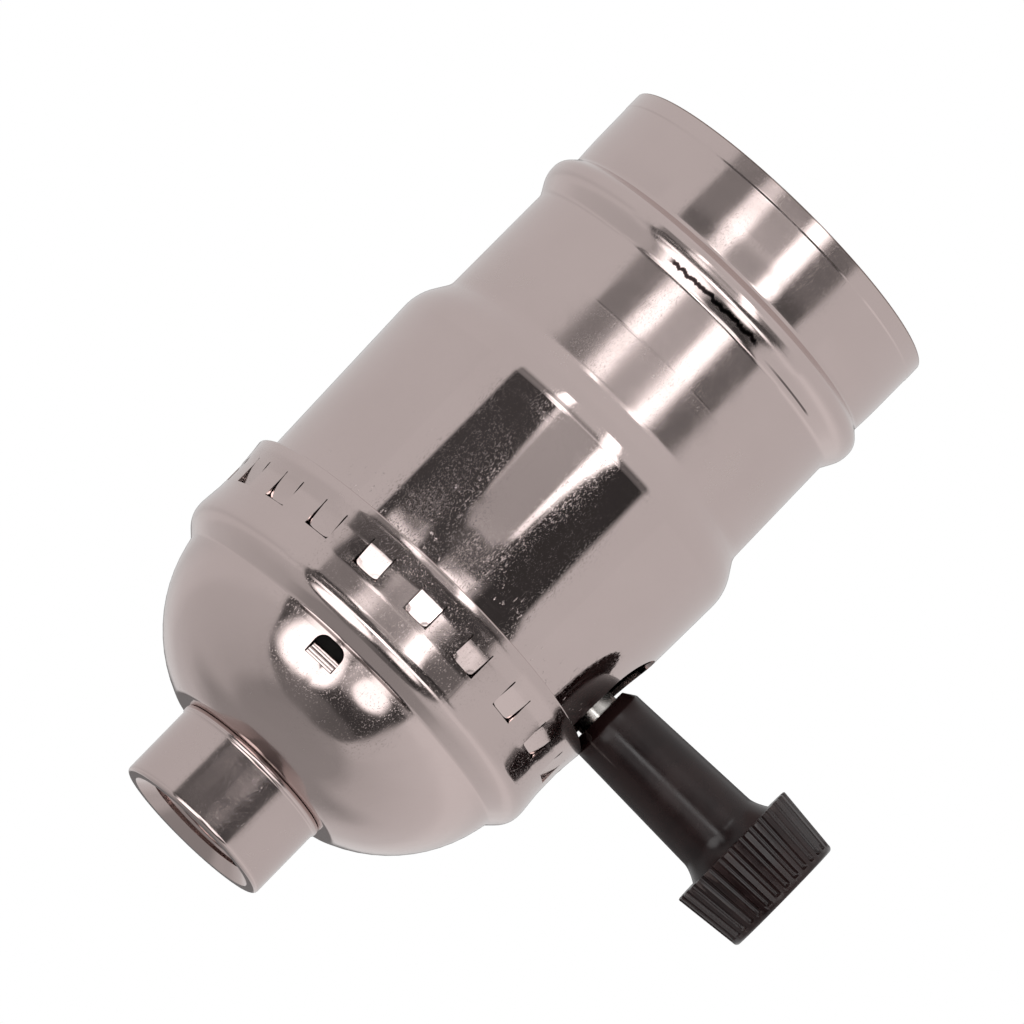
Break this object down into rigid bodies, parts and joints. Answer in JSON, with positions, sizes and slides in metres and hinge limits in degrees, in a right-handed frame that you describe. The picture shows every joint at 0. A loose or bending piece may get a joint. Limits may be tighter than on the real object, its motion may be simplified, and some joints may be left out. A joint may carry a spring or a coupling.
{
  "type": "lamp holder",
  "caption": "Metal-shell lamp holder with a turn-knob switch, a pierced cap pushed over the shell and a threaded neck for the lamp's tube.",
  "frame": {"origin": "centre of the neck's bottom face", "axes": "+Z along the holder's axis from the neck to the mouth, +X along the knob's axis outwards"},
  "size_m": [0.0562, 0.0362, 0.069],
  "materials": {
    "plated_shell": "nickel plate over drawn brass, bright with fine handling marks",
    "plated_cap": "nickel plate over drawn brass, bright",
    "plated_neck": "nickel plate over turned metal, fine turning lines",
    "fibre": "vulcanised fibre, matte black",
    "moulding": "moulded phenolic, dark",
    "socket_metal": "rolled sheet, bright",
    "brass": "stamped or turned brass, plain",
    "nickel": "nickel plate over brass",
    "spring_bronze": "phosphor bronze strip",
    "knob_plastic": "moulded phenolic, semi-matte, brown-black"
  },
  "bodies": {
    "holder": {"cap": "plated_cap", "neck_bushing": "plated_neck", "cap_liner": "fibre", "housing_base": "moulding", "switch_housing": "moulding", "upper_disc": "moulding", "screw_shell": "socket_metal", "contact_rivet": "brass", "body_rivets": "brass", "neutral_strap": "nickel", "neutral_screw": "nickel", "hot_strap": "brass", "hot_screw": "brass", "load_blade": "brass", "detent_spring": "spring_bronze", "spindle_bushing": "nickel"},
    "shell": {"outer_shell": "plated_shell", "shell_liner": "fibre"},
    "knob_and_rotor": {"knob": "knob_plastic", "knob_insert": "brass", "spindle": "nickel", "rotor": "moulding", "rotor_bridge": "brass"},
    "contact_leaf": {"centre_contact": "brass"}
  },
  "joints": [
    {"name": "knob_turn", "type": "hinge", "parent": "holder", "child": "knob_and_rotor", "pos_m": [0, 0, 0.0301], "axis": [1, 0, 0], "continuous": true, "deforming": ["detent_spring"]},
    {"name": "shell_lift", "type": "slide", "parent": "holder", "child": "shell", "axis": [0, 0, 1], "range_m": [0, 0.05]},
    {"name": "contact_press", "type": "hinge", "parent": "holder", "child": "contact_leaf", "pos_m": [-0.0045, 0, 0.0441], "axis": [0, 1, 0], "range_deg": [0, 6], "stiffness_Nm_per_rad": 0.3}
  ]
}
